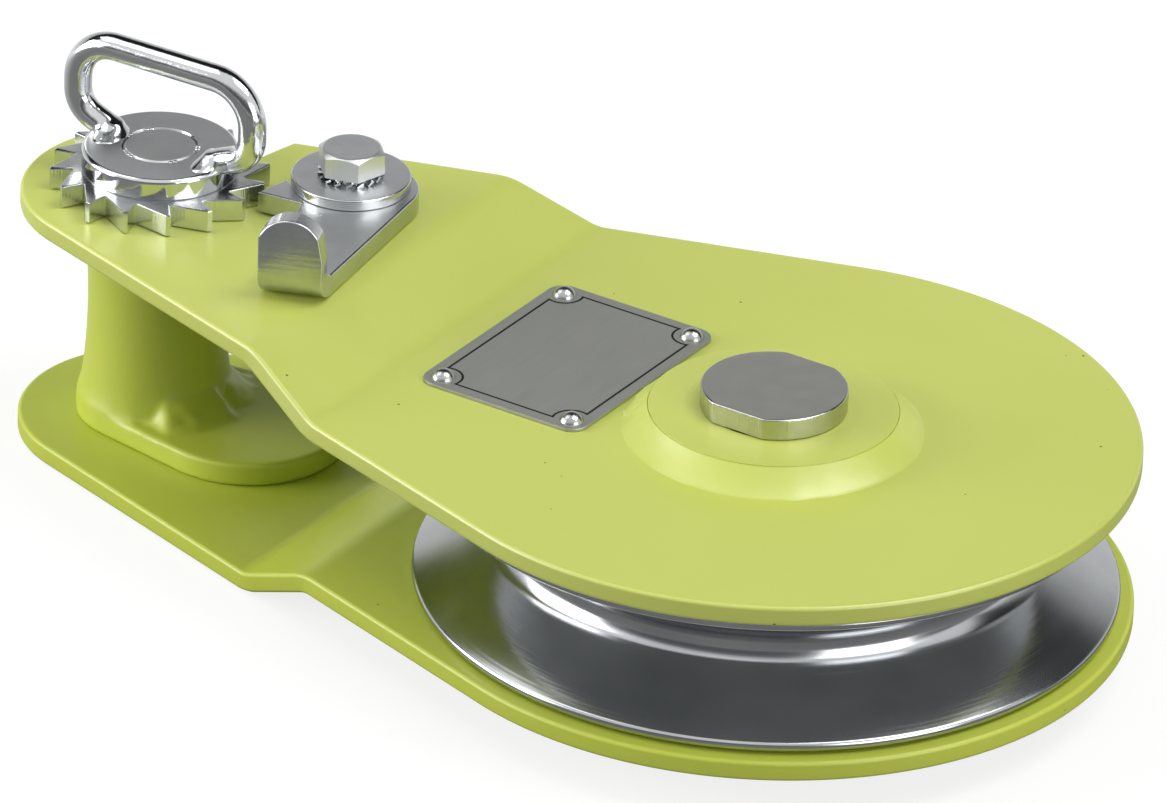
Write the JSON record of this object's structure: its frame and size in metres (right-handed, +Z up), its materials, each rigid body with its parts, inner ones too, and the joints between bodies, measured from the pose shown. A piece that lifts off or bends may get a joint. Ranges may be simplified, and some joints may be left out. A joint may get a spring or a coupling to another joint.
{
  "type": "side-opening snatch block",
  "caption": "Forestry snatch block: a grooved sheave between two joggled side plates, with a sling drum and a ratchet-locked screw that frees the upper plate.",
  "frame": {"origin": "on the sheave axis, in the plane of the axle's lower end, which the block rests on", "axes": "+Z up along the sheave axis towards the lock side, +X from the lock screw to the sheave, +Y across the plates"},
  "size_m": [0.265, 0.156, 0.0921],
  "materials": {
    "powder_coat": "satin yellow-green powder coat",
    "zinc_plate": "bright zinc plating",
    "bare_steel": "turned steel",
    "polished_steel": "turned and polished steel",
    "bearing_steel": "ground bearing steel",
    "bronze": "plain bearing bronze",
    "seal_rubber": "moulded nitrile rubber",
    "spring_steel": "oiled spring steel",
    "plate_aluminium": "anodised aluminium sheet"
  },
  "bodies": {
    "lower_frame": {"lower_side_plate": "powder_coat", "lower_hub_ring": "powder_coat", "lower_hub_weld": "powder_coat", "sling_drum": "powder_coat", "drum_flange": "powder_coat", "drum_weld_bead": "powder_coat", "axle": "bare_steel", "axle_nut": "zinc_plate", "lower_thrust_washer": "bare_steel", "upper_thrust_washer": "bare_steel", "lower_inner_ring": "bearing_steel", "upper_inner_ring": "bearing_steel", "inner_spacer": "bare_steel"},
    "sheave_wheel": {"sheave": "polished_steel", "lower_outer_ring": "bearing_steel", "upper_outer_ring": "bearing_steel", "lower_circlip": "spring_steel", "upper_circlip": "spring_steel", "lower_seal": "seal_rubber", "upper_seal": "seal_rubber"},
    "ball_set": {"bearing_balls": "bearing_steel", "bearing_cages": "bronze"},
    "upper_frame": {"upper_side_plate": "powder_coat", "upper_hub_ring": "powder_coat", "upper_hub_weld": "powder_coat", "pivot_bush": "bronze", "rating_plate": "plate_aluminium", "plate_rivets": "zinc_plate", "pawl_post": "zinc_plate", "pawl_spring": "spring_steel", "cover_washer": "zinc_plate", "serrated_washer": "zinc_plate", "pawl_bolt": "zinc_plate"},
    "pawl_lever": {"pawl": "zinc_plate"},
    "screw_slide": {"stop_washer": "bare_steel"},
    "screw_lock": {"lock_screw": "zinc_plate", "screw_circlip": "spring_steel", "ratchet_wheel": "zinc_plate", "lock_disc": "zinc_plate", "lock_handle": "zinc_plate", "handle_welds": "zinc_plate"}
  },
  "joints": [
    {"name": "sheave_spin", "type": "hinge", "parent": "lower_frame", "child": "sheave_wheel", "pos_m": [0, 0, 0.0294], "axis": [0, 0, 1], "continuous": true},
    {"name": "cage_spin", "type": "hinge", "parent": "lower_frame", "child": "ball_set", "pos_m": [0, 0, 0.0294], "axis": [0, 0, 1], "continuous": true},
    {"name": "upper_plate_swing", "type": "hinge", "parent": "lower_frame", "child": "upper_frame", "pos_m": [0, 0, 0.0523], "axis": [0, 0, 1], "range_deg": [0, 180]},
    {"name": "pawl_swing", "type": "hinge", "parent": "upper_frame", "child": "pawl_lever", "pos_m": [-0.1189, 0.0172, 0.0615], "axis": [0, 0, 1], "range_deg": [-6, 22], "stiffness_Nm_per_rad": 0.05},
    {"name": "lock_screw_lift", "type": "slide", "parent": "lower_frame", "child": "screw_slide", "axis": [0, 0, 1], "range_m": [0, 0.004]},
    {"name": "lock_screw_turn", "type": "hinge", "parent": "screw_slide", "child": "screw_lock", "pos_m": [-0.157, 0, 0.03], "axis": [0, 0, 1], "range_deg": [0, 720]}
  ],
  "couplings": [
    {"joint": "cage_spin", "follows": "sheave_spin", "ratio": 0.5917},
    {"joint": "lock_screw_turn", "follows": "lock_screw_lift", "rad_per_m": 3141.6}
  ]
}
